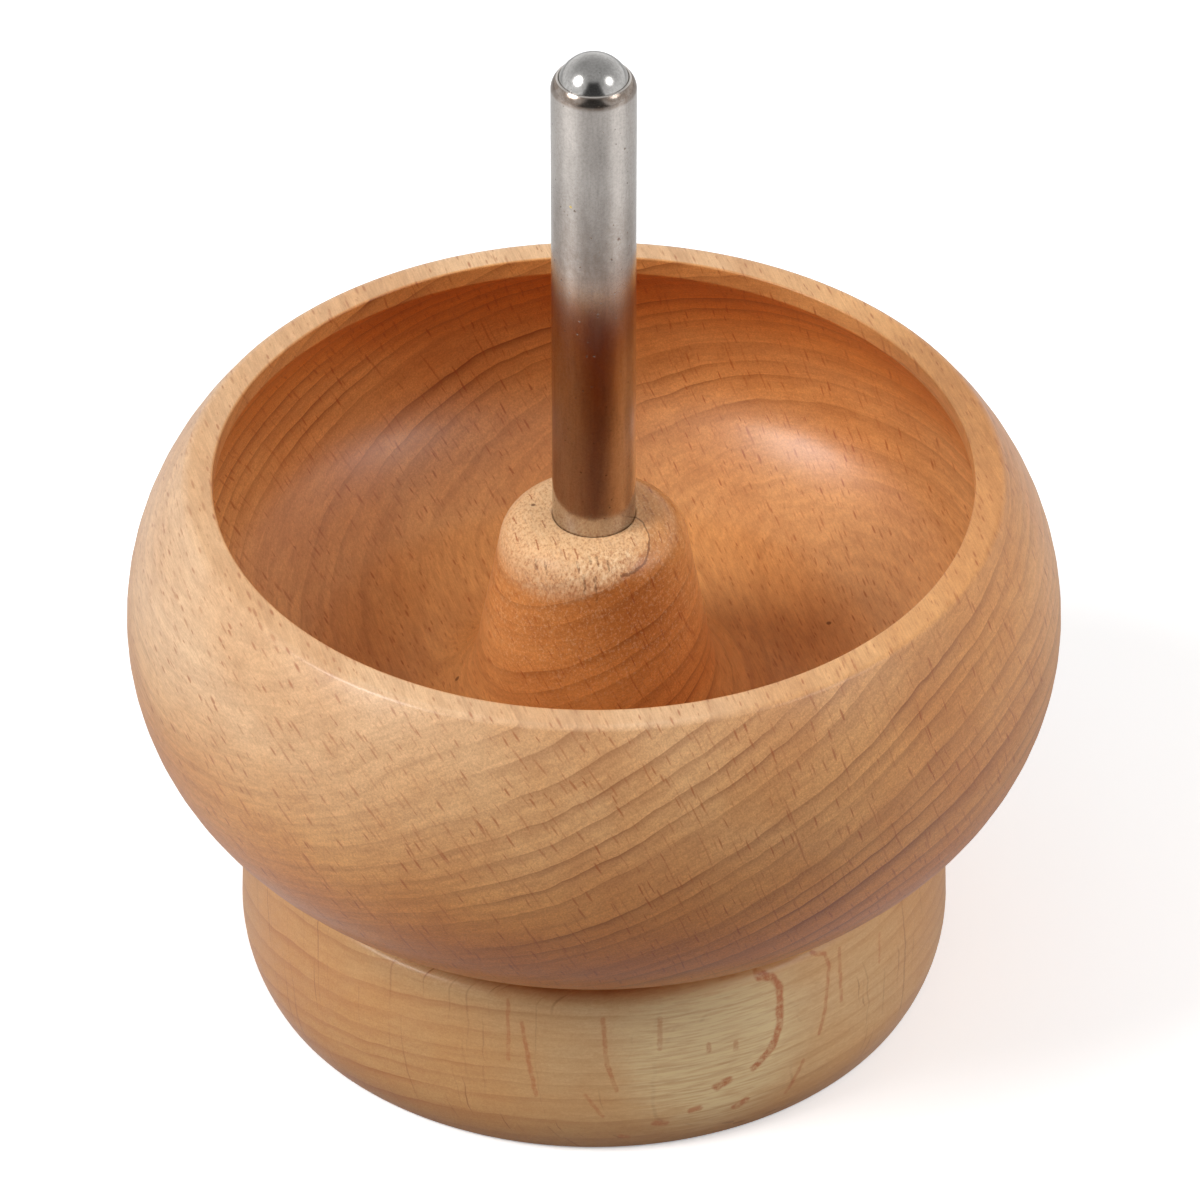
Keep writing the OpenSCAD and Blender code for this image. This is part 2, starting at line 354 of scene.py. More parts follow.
class BaseFigure(BeechFigure, bpy.types.PropertyGroup):
    light: colour("Light", "Colour of the palest wood", 255, 230, 184)
    dark: colour("Dark", "Colour of the darker wood", 255, 219, 165)
    ring: colour("Ring", "Colour of the late wood's lines", 206, 138, 84)
    ray: colour("Ray", "Colour of the rays", 176, 100, 56)
    # The deepening tint stands for end grain and for painted shade where less light falls
    deep: colour("Deep", "Tint of the wood that less light has bleached", 228, 204, 176)
    end_depth: share("End depth", "How much deeper the end grain is", 0.85)
    # Pale patch: the wood's figure, partly painted light on the shaded front
    pale: colour("Pale", "Colour of the pale patch round the broad rays", 255, 228, 174)
    ribbon: colour("Ribbon", "Colour of the broad rays", 200, 96, 34)
    grain_turn: degrees("Grain turn", "Direction of the grain, from the right", 24)
    pith_side: number("Pith side", "Distance of the pith to the right, in millimetres", 50)
    pith_height: number("Pith height", "Height of the pith, in millimetres", -130)
    ray_strength: share("Ray strength", "How dark the rays are", 0.6)
    ray_reach: number("Ray reach", "Half length of a ray out from the pith, in millimetres", 6.5)
    ray_rise: number("Ray rise", "Half length of a ray along the grain, in millimetres", 1.3)
    ray_gap: number("Ray gap", "Distance between rays round the pith, in millimetres", 2.6)
    ray_width: number("Ray width", "Half width of a ray, in millimetres", 0.1)
    plain_side: share("Plain side", "How much of the rings is missing at the left", 0.0)
    seed: number("Seed", "Start of the random figure", 7)


class SteelFinish(bpy.types.PropertyGroup):
    sleeve: colour("Sleeve", "Colour of the plated sleeve", 200, 193, 187)
    # Tint of the rolled top's dull plating, darkened as painted dark reflection, and of the band of
    # painted reflection
    worn: colour("Worn", "Colour of the sleeve's dull and grimy plating", 122, 103, 88)
    # The lip colour is a painted highlight, a bright line along the lip
    lip: colour("Lip", "Colour of the lip round the ball", 236, 230, 224)
    ball: colour("Ball", "Colour of the polished ball", 205, 203, 200)
    rod: colour("Rod", "Colour of the ground rod", 188, 187, 184)
    zinc: colour("Zinc", "Colour of the plated screw and washer", 186, 189, 192)
    sleeve_roughness: share("Sleeve roughness", "Roughness of the sleeve", 0.14)
    rolled_roughness: share("Rolled roughness", "Roughness of the sleeve's rolled top", 0.21)
    ball_roughness: share("Ball roughness", "Roughness of the ball", 0.16)
    rod_roughness: share("Rod roughness", "Roughness of the rod", 0.25)
    screw_roughness: share("Screw roughness", "Roughness of the screw", 0.3)
    washer_roughness: share("Washer roughness", "Roughness of the washer", 0.35)


class StudioSetup(bpy.types.PropertyGroup):
    camera_place: FloatVectorProperty(
        name="Camera place", description="Where the camera stands",
        default=(0.73 * MM, -719.3 * MM, 598.8 * MM), subtype="TRANSLATION",
    )
    camera_tilt: degrees("Camera tilt", "Turn of the camera up from straight down", 52.7211)
    lens: FloatProperty(
        name="Lens", description="Focal length in millimetres", default=224.1
    )
    box_reach: length("Box reach", "Distance of the soft boxes", 1000)
    box_size: length("Box size", "Diameter of the soft boxes", 560)
    box_turn: degrees("Box turn", "How far the soft boxes stand to the front", 21.7)
    box_rise: degrees("Box rise", "Height of the soft boxes over the object", 41.1)
    aim_height: length("Aim height", "Height that the lamps look at", 60)
    glint_size: length("Glint size", "Diameter of the soft boxes in gloss", 360)
    left_glint: number("Left glint", "Power of the left soft box in gloss, in watts", 5.2)
    right_glint: number("Right glint", "Power of the right soft box in gloss, in watts", 1.3)
    left_power: number("Left power", "Power of the left soft box, in watts", 8.5)
    right_power: number("Right power", "Power of the right soft box, in watts", 1.2)
    panel_power: number("Panel power", "Power of the wide panel at the right, in watts", 5.3)
    panel_width: length("Panel width", "Width of the wide panel", 1100)
    panel_depth: length("Panel depth", "Depth of the wide panel", 770)
    panel_rise: degrees("Panel rise", "Height of the wide panel over the floor", 28)
    surround: number("Surround", "Brightness of the room round the object", 0.05)
    overhead: number("Overhead", "Brightness of the room over the object", 0.56)
    behind: number("Behind", "Brightness of the room behind the object", 0.12)
    mirror: number("Mirror", "Brightness of the room in polished metal", 0.98)
    top_mirror: share("Top mirror", "What is left of that overhead", 0.5)
    gap_mirror: share("Gap mirror", "What is left of that between the soft boxes", 0.08)
    floor_bounce: share("Floor bounce", "How much light the floor throws back", 0.36)
    floor_glow: number("Floor glow", "Light added to the floor in polished metal", 0.12)
    floor_white: number("Floor white", "The same for the camera alone", 0.35)
    floor_mirror: share("Floor mirror", "Brightness of the floor in polished metal", 0.94)
    # In polished metal the floor shows painted shade: darker in front and close round the object
    front_mirror: share("Front mirror", "The same for the floor in front of the object", 0.54)
    back_mirror: share("Back mirror", "What is left of it behind the object", 0.68)
    close_mirror: share("Close mirror", "What is left of it close round the object", 0.8)
    floor_size: length("Floor size", "Width of the floor", 3000)


class SpinnerSettings(bpy.types.PropertyGroup):
    base: PointerProperty(type=BaseSizes)
    bowl: PointerProperty(type=BowlSizes)
    spindle: PointerProperty(type=SpindleSizes)
    screw: PointerProperty(type=ScrewSizes)
    bowl_figure: PointerProperty(type=BowlFigure)
    base_figure: PointerProperty(type=BaseFigure)
    steel: PointerProperty(type=SteelFinish)
    studio: PointerProperty(type=StudioSetup)


class Outline:
    """A profile drawn with one pen in the XZ plane, then turned about the upright axis"""

    def __init__(self, x, z, corner):
        self.mesh = bmesh.new()
        self.start = self.pen = self.mesh.verts.new((x, 0, z))
        self.corner = corner

    def lines(self, *points):
        """Draws straight on through points"""
        for x, z in points:
            self.line(x, z)

    def line(self, x, z):
        """Draws straight on to a point, held near both ends so that the flat shades flat"""
        start, end = self.pen.co.copy(), Vector((x, 0, z))
        stops, hold = [end], 2 * self.corner
        if (end - start).length > 3 * hold:
            inset = (end - start).normalized() * hold
            stops = [start + inset, end - inset, end]
        for stop in stops:
            drawn = bmesh.ops.extrude_vert_indiv(self.mesh, verts=[self.pen])
            self.pen = drawn["verts"][0]
            self.pen.co = stop

    def arc(self, centre, angle):
        """Draws on round a centre, anticlockwise for a positive angle"""
        drawn = bmesh.ops.spin(
            self.mesh, geom=[self.pen], cent=(centre.x, 0, centre.y), axis=(0, -1, 0),
            angle=angle, steps=max(2, math.ceil(abs(math.degrees(angle)) / ARC_STEP)),
        )
        self.pen = drawn["geom_last"][0]

    def close(self):
        """Joins the pen's last point to the first"""
        self.mesh.edges.new((self.pen, self.start))

    def turn(self):
        """Turns the profile into a solid and softens its corners"""
        mesh = self.mesh
        bmesh.ops.spin(
            mesh, geom=mesh.verts[:] + mesh.edges[:], cent=(0, 0, 0), axis=(0, 0, 1),
            angle=math.tau, steps=ROUND_SIDES, use_merge=True,
        )
        bmesh.ops.remove_doubles(mesh, verts=mesh.verts, dist=SAME_POINT)
        soften(mesh, self.corner)
        return mesh


def soften(mesh, width):
    """Rounds each edge where two faces meet at a corner"""
    corners = [e for e in mesh.edges if e.is_manifold and e.calc_face_angle(0) > CORNER_ANGLE]
    bmesh.ops.bevel(
        mesh, geom=corners, offset=width, segments=CORNER_STEPS, profile=0.5, affect="EDGES",
        material=-1,
    )


def finish_piece(mesh, name, material):
    """Makes a mesh into a smooth closed piece with a material"""
    bmesh.ops.recalc_face_normals(mesh, faces=mesh.faces)
    for face in mesh.faces:
        face.smooth = True
    data = bpy.data.meshes.new(name)
    mesh.to_mesh(data)
    mesh.free()
    data.materials.append(material)
    piece = bpy.data.objects.new(name, data)
    bpy.context.scene.collection.objects.link(piece)
    return piece


def seat(piece, body, node):
    """Lets a piece stand for a node of the frame, on its body, and hides the node"""
    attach(piece, body)
    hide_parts(node)


def along(centre, radius, angle):
    """Point at an angle on a circle in profile"""
    return centre + radius * Vector((math.cos(angle), math.sin(angle)))


def heading(start, end):
    """Direction from one point in profile to another"""
    return math.atan2(end.y - start.y, end.x - start.x)


def edge_centre(centre, radius, rounding, level):
    """Centre of a rounding between a level and the inside of a circle in profile"""
    rise, reach = level - centre.y, radius - rounding
    return Vector((centre.x + math.sqrt(reach**2 - rise**2), level))


class Nodes:
    """A node tree, with a short call for each kind of node"""

    def __init__(self, tree):
        self.tree = tree

    def put(self, socket, value):
        """Links or sets an input"""
        if isinstance(value, bpy.types.NodeSocket):
            self.tree.links.new(value, socket)
        else:
            socket.default_value = value

    def add(self, kind, values=None, **settings):
        """Adds a node and fills its inputs"""
        added = self.tree.nodes.new("ShaderNode" + kind)
        for key, value in settings.items():
            setattr(added, key, value)
        for key, value in (values or {}).items():
            self.put(added.inputs[key], value)
        return added

    def math(self, operation, first, second=0.0, third=0.0):
        """A sum of up to three numbers"""
        values = {0: first, 1: second, 2: third}
        return self.add("Math", values, operation=operation).outputs[0]

    def product(self, *factors):
        """All the factors multiplied"""
        result = factors[0]
        for factor in factors[1:]:
            result = self.math("MULTIPLY", result, factor)
        return result

    def vector(self, operation, first, second=(0, 0, 0)):
        """A sum of two vectors"""
        added = self.add("VectorMath", {0: first, 1: second}, operation=operation)
        return added.outputs["Vector"]

    def measure(self, operation, first, second=(0, 0, 0)):
        """A number from two vectors"""
        added = self.add("VectorMath", {0: first, 1: second}, operation=operation)
        return added.outputs["Value"]

    def split(self, vector):
        """The three numbers of a vector"""
        return self.add("SeparateXYZ", {0: vector}).outputs

    def join(self, x=0.0, y=0.0, z=0.0):
        """A vector from three numbers"""
        return self.add("CombineXYZ", {0: x, 1: y, 2: z}).outputs[0]

    def mix(self, factor, first, second):
        """A colour between two"""
        return self.add("Mix", {0: factor, 6: first, 7: second}, data_type="RGBA").outputs[2]

    def fade(self, value, low, high, to_low=0.0, to_high=1.0):
        """A smooth step from low to high"""
        values = {"Value": value, "From Min": low, "From Max": high}
        values.update({"To Min": to_low, "To Max": to_high})
        return self.add("MapRange", values, interpolation_type="SMOOTHSTEP").outputs[0]

    def noise(self, vector, scale=1.0, detail=2.0, roughness=0.5, output="Fac"):
        """Cloudy noise round a half"""
        values = {"Vector": vector, "Scale": scale, "Detail": detail, "Roughness": roughness}
        return self.add("TexNoise", values).outputs[output]

    def layer(self, vector, kind, output="Fac"):
        """Cloudy noise with the stretch, detail and roughness of its kind"""
        stretch, detail, roughness = kind
        return self.noise(self.vector("MULTIPLY", vector, stretch), 1.0, detail, roughness, output)

    def inverse(self, share):
        """What a share leaves of the whole"""
        return self.math("SUBTRACT", 1.0, share)

    def highest(self, first, *others):
        """The highest of several numbers"""
        for other in others:
            first = self.math("MAXIMUM", first, other)
        return first


class Finish(Nodes):
    """The node tree of one material"""

    def __init__(self, name, roughness=0.5, metallic=0.0):
        self.material = bpy.data.materials.new(name)
        self.material.use_nodes = True
        super().__init__(self.material.node_tree)
        self.shader = self.tree.nodes["Principled BSDF"]
        self.set("Roughness", roughness)
        self.set("Metallic", metallic)

    def set(self, name, value):
        """Links or sets an input of the shader"""
        self.put(self.shader.inputs[name], value)

    def source(self, name):
        """What feeds an input of the shader so far"""
        links = self.shader.inputs[name].links
        return links[0].from_socket if links else self.shader.inputs[name].default_value

    def paint(self, mask, tint, roughness):
        """Covers part of the surface with another colour and roughness"""
        self.set("Base Color", self.mix(mask, self.source("Base Color"), solid(tint)))
        self.dull(mask, roughness)

    def dull(self, mask, roughness):
        """Gives part of the surface another roughness"""
        polish = self.math("MULTIPLY", self.source("Roughness"), self.inverse(mask))
        self.set("Roughness", self.math("MULTIPLY_ADD", mask, roughness, polish))

    def stroke(self, spot, points, width):
        """A soft line through points, with the spot and all sizes in millimetres"""
        drawn = 0.0
        for start, end in zip(points, points[1:]):
            start, end = Vector(start).to_3d(), Vector(end).to_3d()
            span = end - start
            offset = self.vector("SUBTRACT", spot, start)
            share = self.measure("DOT_PRODUCT", offset, span / span.length_squared)
            share = self.add("Clamp", {"Value": share}).outputs[0]
            nearest = self.vector("MULTIPLY", self.join(share, share, share), span)
            away = self.measure("DISTANCE", offset, nearest)
            drawn = self.highest(drawn, self.fade(away, width, 0.4 * width))
        return drawn

    def strokes(self, spot, lines, width):
        """Several soft lines, each through its own points"""
        drawn = 0.0
        for points in lines:
            drawn = self.highest(drawn, self.stroke(spot, points, width))
        return drawn

    def dot(self, spot, centre, size):
        """A soft round spot"""
        return self.fade(self.measure("DISTANCE", spot, centre), size, 0.5 * size)

    def relief(self, height, strength, depth):
        """Presses a height into the surface, in millimetres"""
        values = {"Strength": strength, "Distance": depth * MM, "Height": height}
        self.set("Normal", self.add("Bump", values).outputs[0])


def solid(tint):
    """A colour with its alpha"""
    return tuple(tint) + (1,)


def beech(name, figure):
    """Solid beech: growth rings round the pith, rays across them and fibres along the grain"""
    finish = Finish(name)
    place = finish.add("TexCoord").outputs
    turn = (0, 0, math.pi / 2 - figure.grain_turn)
    pith = (-figure.pith_side, figure.seed * 100, -figure.pith_height)
    log = finish.add(
        "Mapping",
        {"Vector": place["Object"], "Location": pith, "Rotation": turn, "Scale": (1 / MM,) * 3},
    ).outputs["Vector"]
    normal = finish.add("Mapping", {"Vector": place["Normal"], "Rotation": turn}).outputs["Vector"]
    bent = log
    for kind, bend in ((SWAY, SWAY_BEND), (RIPPLE, RIPPLE_BEND)):
        push = finish.vector("MULTIPLY", finish.layer(log, kind, "Color"), (bend, 0, bend))
        bent = finish.vector("ADD", bent, push)
    x, y, z = finish.split(bent)
    outward = finish.join(x, 0.0, z)
    radius = finish.measure("LENGTH", outward)
    pith_away = math.hypot(figure.pith_side, figure.pith_height)
    round_pith = finish.math("MULTIPLY", finish.math("ARCTAN2", z, x), pith_away)
    polar = finish.join(radius, round_pith, y)

    end_grain = finish.math("POWER", finish.math("ABSOLUTE", finish.split(normal)[1]), 2.0)
    flat_cut = finish.measure("DOT_PRODUCT", normal, finish.vector("NORMALIZE", outward))
    flat_cut = finish.math("POWER", finish.math("ABSOLUTE", flat_cut), 4.0)
    crossed = finish.math("MULTIPLY_ADD", flat_cut, -0.75, 1.0)
    crossed = finish.math("MULTIPLY", crossed, finish.fade(end_grain, 0.0, 0.9, 0.45, 1.0))
    crossed = finish.math("MULTIPLY", crossed, plain_side(finish, place, figure))

    late, shade = growth_rings(finish, figure, radius, log)
    streak = finish.layer(polar, STREAK)
    fibre = finish.layer(log, FIBRE)
    mottle = finish.fade(fibre, 0.32, 0.68)
    grit = finish.fade(finish.noise(log, GRIT_SCALE, 3.0, 0.8), 0.38, 0.62)
    sheen = finish.layer(polar, SHEEN)
    cloud = finish.layer(log, CLOUD)

    tone = finish.mix(finish.fade(cloud, 0.3, 0.7), solid(figure.light), solid(figure.dark))
    for shares in (
        (shade, crossed, SEASON_SHARE),
        (late, crossed, figure.ring_strength),
        (finish.fade(streak, 0.4, 0.7), STREAK_SHARE),
        (finish.fade(sheen, 0.35, 0.65), SHEEN_SHARE),
        (mottle, FIBRE_SHARE),
        (grit, finish.fade(end_grain, 0.0, 0.6, 0.5, 1.0), GRIT_SHARE),
    ):
        tone = finish.mix(finish.product(*shares), tone, solid(figure.ring))
    tone = finish.mix(ray_marks(finish, figure, polar), tone, solid(figure.ray))
    # End grain's depth plus painted shade sets how far the tint deepens
    depth = finish.math("MULTIPLY_ADD", end_grain, figure.end_depth, painted_shade(finish, place))
    deep = finish.add("Gamma", {"Color": solid(figure.deep), "Gamma": depth}).outputs[0]
    finish.set("Base Color", finish.vector("MULTIPLY", tone, deep))
    finish.set("Roughness", finish.math("MULTIPLY_ADD", mottle, FIBRE_ROUGHNESS, WOOD_ROUGHNESS))
    finish.set("Specular IOR Level", WOOD_SPECULAR)
    finish.set("Coat Weight", OIL_COAT)
    finish.set("Coat Roughness", OIL_ROUGHNESS)
    rough = finish.math("MULTIPLY_ADD", finish.math("MULTIPLY", grit, end_grain), 0.5, fibre)
    finish.relief(finish.math("MULTIPLY", rough, -1.0), *WOOD_RELIEF)
    finish.spot = finish.vector("DIVIDE", place["Object"], (MM,) * 3)
    finish.radius = finish.measure("LENGTH", finish.vector("MULTIPLY", log, (1, 0, 1)))
    return finish


def beech_bowl(figure):
    """The bowl's beech, torn and cracked at the cone's top, with a few dark specks"""
    finish = beech("beech_bowl", figure)
    ragged = finish.layer(finish.spot, RAGGED)
    rings = finish.math("MULTIPLY_ADD", ragged, RAGGED_REACH, finish.radius)
    fuzz = finish.layer(finish.spot, FUZZ)
    fray = finish.layer(finish.spot, FRAY)
    below = finish.measure("DISTANCE", finish.spot, CONE_TOP)
    top = finish.fade(below, *CAP_REACH)
    side = finish.fade(below, *SIDE_REACH)
    front = finish.fade(finish.split(finish.spot)[1], *CAP_FRONT)
    cap = finish.product(top, finish.fade(rings, *BARE_RINGS))
    torn = finish.product(cap, front, finish.fade(rings, *TORN_RINGS))
    finish.paint(finish.math("MULTIPLY", cap, 0.38), figure.bare, 0.6)
    finish.set("Coat Weight", finish.fade(cap, 0.0, 1.0, OIL_COAT, 0.1))
    for shares, tint, roughness in (
        ((cap, finish.fade(fuzz, 0.48, 0.64), 0.32), figure.ray, 0.7),
        ((side, finish.fade(fuzz, 0.5, 0.62), 0.2), figure.ray, 0.6),
        ((side, finish.fade(fuzz, 0.48, 0.36), 0.22), figure.bare, 0.6),
        ((torn, finish.fade(fray, 0.54, 0.64), 0.6), figure.ray, 0.8),
        ((torn, finish.fade(fray, 0.5, 0.38), 0.5), figure.bare, 0.8),
    ):
        finish.paint(finish.product(*shares), tint, roughness)
    plan = finish.vector("MULTIPLY", finish.vector("ADD", finish.spot, jitter(finish)), (1, 1, 0))
    dashes = short_marks(finish, plan, figure, DASHES, DASH_SIZE)
    finish.paint(finish.product(top, dashes, 0.7), figure.ray, 0.6)
    pits = short_marks(finish, plan, figure, PITS, PIT_SIZE)
    pits = finish.math("MULTIPLY", pits, finish.fade(fray, 0.4, 0.6, 0.2, 1.0))
    crack = finish.stroke(plan, CRACK, CRACK_WIDTH)
    marks = finish.product(top, finish.highest(crack, pits), 0.75)
    for centre, size in SPECKS:
        marks = finish.highest(marks, finish.dot(finish.spot, centre, size))
    finish.paint(finish.math("MULTIPLY", marks, 0.8), figure.crack, 0.8)
    return finish.material


def short_marks(finish, plan, figure, starts, size):
    """Short marks along the grain, each from its start"""
    reach, width = size
    step = reach * Vector((math.cos(figure.grain_turn), math.sin(figure.grain_turn)))
    return finish.strokes(plan, [(start, Vector(start) - step) for start in starts], width)


def beech_base(figure):
    """The base's beech, cut so that a few broad rays show on its front"""
    finish = beech("beech_base", figure)
    x, y, z = finish.split(finish.spot)
    azimuth = finish.math("ARCTAN2", x, finish.math("MULTIPLY", y, -1.0))
    side = finish.math("MULTIPLY", azimuth, base_high.x / MM)
    front = finish.vector("ADD", finish.join(side, z, 0.0), jitter(finish))
    front = finish.vector("MULTIPLY", front, (1, 1, 0))
    pale = finish.fade(finish.measure("DISTANCE", front, PALE_MIDDLE), *PALE_REACH)
    squeezed = finish.math("MULTIPLY", z, THREAD_SQUEEZE)
    thread = finish.noise(finish.join(side, squeezed), 0.16, 2.0, 0.6)
    thread = finish.fade(thread, 0.35, 0.6, 0.25, 0.8)
    # Pale figure round the broad rays, strengthened as painted light where the front lies in shade
    finish.paint(finish.product(pale, thread), figure.pale, 0.4)
    squeezed = finish.math("MULTIPLY", z, LINE_SQUEEZE)
    lines = finish.noise(finish.join(side, squeezed, 5.0), 0.2, 3.0, 0.7)
    finish.paint(finish.product(finish.fade(lines, 0.5, 0.66), 0.22), figure.ring, 0.5)
    drawn = 0.0
    for width, strength, points in RIBBONS:
        line = finish.stroke(front, points, 1.3 * width)
        drawn = finish.highest(drawn, finish.math("MULTIPLY", line, strength))
    broken = finish.noise(finish.spot, 1.3, 4.0, 0.75)
    drawn = finish.math("MULTIPLY", drawn, finish.fade(broken, 0.35, 0.6, 0.4, 1.0))
    finish.paint(drawn, figure.ribbon, 0.3)
    return finish.material


def jitter(finish):
    """A small shake in millimetres that keeps drawn lines from looking drawn"""
    shake = finish.noise(finish.spot, 0.8, 3.0, 0.65, "Color")
    return finish.vector("MULTIPLY", finish.vector("SUBTRACT", shake, (0.5,) * 3), (SHAKE,) * 3)


def growth_rings(finish, figure, radius, log):
    """Late wood at the end of each season, and the slow darkening before it"""
    uneven = finish.noise(finish.join(radius, 0.0, figure.seed), 0.11, 1.0, 0.5)
    growth = finish.math("DIVIDE", radius, figure.ring_spacing)
    growth = finish.math("MULTIPLY_ADD", uneven, RING_WANDER, growth)
    year = finish.join(finish.math("FLOOR", growth), 0.0, figure.seed)
    season = finish.math("FRACT", growth)
    ending = finish.fade(season, 1.0, 0.96)
    late = finish.product(finish.math("POWER", season, 6.0), ending, LATE_STRENGTH)
    vigour = finish.fade(finish.noise(year, 3.7, 0.0), 0.35, 0.65, 0.5, 1.0)
    slow = finish.vector("MULTIPLY", log, SWAY[0])
    patchy = finish.fade(finish.noise(slow, 3.0, 1.0), 0.35, 0.65, 0.45, 1.0)
    late = finish.product(late, vigour, patchy)
    shade = finish.product(finish.math("POWER", season, 1.5), finish.fade(season, 1.0, 0.8))
    return late, shade


def ray_marks(finish, figure, polar):
    """How strongly the rays mark the wood: short dashes, and long faint lines out from the pith"""
    reach, rise, gap = figure.ray_reach, figure.ray_rise, figure.ray_gap
    cell = (1.9 * reach, gap, 2.1 * rise)
    dashes = ray_field(finish, polar, cell, (reach, figure.ray_width, rise))
    cell = (5.5 * reach, 0.9 * gap, 3.0 * rise)
    lines = ray_field(finish, polar, cell, (3 * reach, LINE_WIDTH, 1.4 * rise))
    marks = finish.highest(dashes, finish.math("MULTIPLY", lines, figure.line_share))
    return finish.math("MULTIPLY", marks, figure.ray_strength)


def ray_field(finish, polar, cell, reach):
    """Lens-shaped rays, one to a cell, each with its reach out, round and along the grain"""
    placed = finish.vector("DIVIDE", polar, cell)
    nearest = finish.add("TexVoronoi", {"Vector": placed, "Scale": 1.0, "Randomness": 1.0})
    offset = finish.vector("SUBTRACT", placed, nearest.outputs["Position"])
    offset = finish.vector("DIVIDE", finish.vector("MULTIPLY", offset, cell), reach)
    chance, other, _ = finish.split(nearest.outputs["Color"])
    size = finish.fade(chance, 0, 1, 0.6, 1.3)
    away = finish.math("DIVIDE", finish.measure("LENGTH", offset), size)
    return finish.product(finish.fade(away, 1.0, 0.3), finish.fade(other, 0.0, 1.0, 0.4, 1.0))


def outward_share(finish, place):
    """The place across from the axis, and how far the surface turns outwards there"""
    across = finish.vector("MULTIPLY", place["Object"], (1, 1, 0))
    outward = finish.measure("DOT_PRODUCT", place["Normal"], finish.vector("NORMALIZE", across))
    return across, outward


def plain_side(finish, place, figure):
    """Less of the rings on the outside at the left, where the wood grew evenly"""
    across, outward = outward_share(finish, place)
    left = finish.fade(finish.split(across)[0], *PLAIN_LEFT, 0.0, figure.plain_side)
    wall = finish.fade(finish.measure("LENGTH", across), *PLAIN_WALL)
    return finish.inverse(finish.product(left, wall, finish.fade(outward, *PLAIN_FACING)))


def painted_shade(finish, place):
    """Painted shade where less light falls: the hollow, the cone, the right and the undersides"""
    across, outward = outward_share(finish, place)
    hollow = finish.fade(outward, *HOLLOW_SHADE)
    middle = finish.fade(finish.measure("LENGTH", across), *MIDDLE_SHADE)
    right = finish.fade(finish.split(across)[0], *RIGHT_SHADE)
    underside = finish.fade(finish.split(place["Normal"])[2], *UNDERSIDE_SHADE)
    return finish.highest(hollow, middle, right, underside)


def plated_steel(name, tint, roughness):
    """Bright plated steel with faint smudges, fine drawn lines and pits"""
    finish = Finish(name, roughness, 1.0)
    spot = finish.vector("DIVIDE", finish.add("TexCoord").outputs["Object"], (MM,) * 3)
    smudge = finish.layer(spot, SMUDGE)
    drawn = finish.layer(spot, DRAWN)
    grit = finish.noise(spot, STEEL_GRIT_SCALE, 3.0, 0.7)
    pits = finish.add("TexVoronoi", {"Vector": spot, "Scale": 0.8}).outputs["Distance"]
    pits = finish.product(finish.fade(pits, 0.13, 0.06), finish.fade(grit, 0.42, 0.55))
    smudged = tuple(SMUDGE_SHARE * c for c in tint)
    tone = finish.mix(finish.fade(smudge, 0.35, 0.7), solid(tint), solid(smudged))
    for mask, stained in (
        (finish.fade(grit, 0.35, 0.75), 0.22),
        (finish.fade(drawn, 0.4, 0.7), 0.1),
        (pits, 0.6),
    ):
        tone = finish.mix(finish.math("MULTIPLY", mask, stained), tone, STAIN)
    finish.set("Base Color", tone)
    rough = finish.fade(smudge, 0.3, 0.7, roughness * 0.85, roughness * 1.2)
    finish.set("Roughness", finish.math("MULTIPLY_ADD", grit, roughness * 0.2, rough))
    height = finish.math("MULTIPLY_ADD", pits, -1.0, finish.product(grit, 0.15))
    finish.relief(height, *STEEL_RELIEF)
    finish.spot = spot
    return finish


def plated_sleeve(steel):
    """The sleeve's plating, dull and painted darker where its top is rolled in, with a painted
    highlight on the lip, a band of painted reflection and a few marks
    """
    finish = plated_steel("plated_sleeve", steel.sleeve, steel.sleeve_roughness)
    height = finish.split(finish.spot)[2]
    top = sleeve_high.z / MM
    rolled = finish.fade(height, CRIMP_LOW, CRIMP_LOW + CRIMP_FADE)
    lip = finish.fade(height, *(top - depth for depth in LIP_DEPTHS))
    starts, full, ending, ends = PAINTED_REFLECTION_BAND
    painted_reflection_band = finish.product(finish.fade(height, starts, full), finish.fade(height, ends, ending))
    cloud = finish.noise(finish.spot, 0.9, 4.0, 0.65)
    # Dull plating on the rolled top, tinted darker partly as painted dark reflection
    finish.paint(finish.product(rolled, finish.fade(cloud, 0.35, 0.65, 0.45, 0.8)), steel.worn, 0.3)
    finish.dull(rolled, steel.rolled_roughness)
    # Painted highlight: a bright line round the lip
    finish.paint(finish.math("MULTIPLY", lip, 0.8), steel.lip, 0.2)
    # Painted reflection: a brownish band where the sleeve mirrors the bowl's wood
    finish.paint(finish.product(painted_reflection_band, finish.fade(cloud, 0.2, 0.7, 0.2, 0.45)), steel.worn, 0.2)
    for centre, size, tint in STEEL_MARKS:
        finish.paint(finish.dot(finish.spot, centre, size), tint, 0.4)
    return finish.material


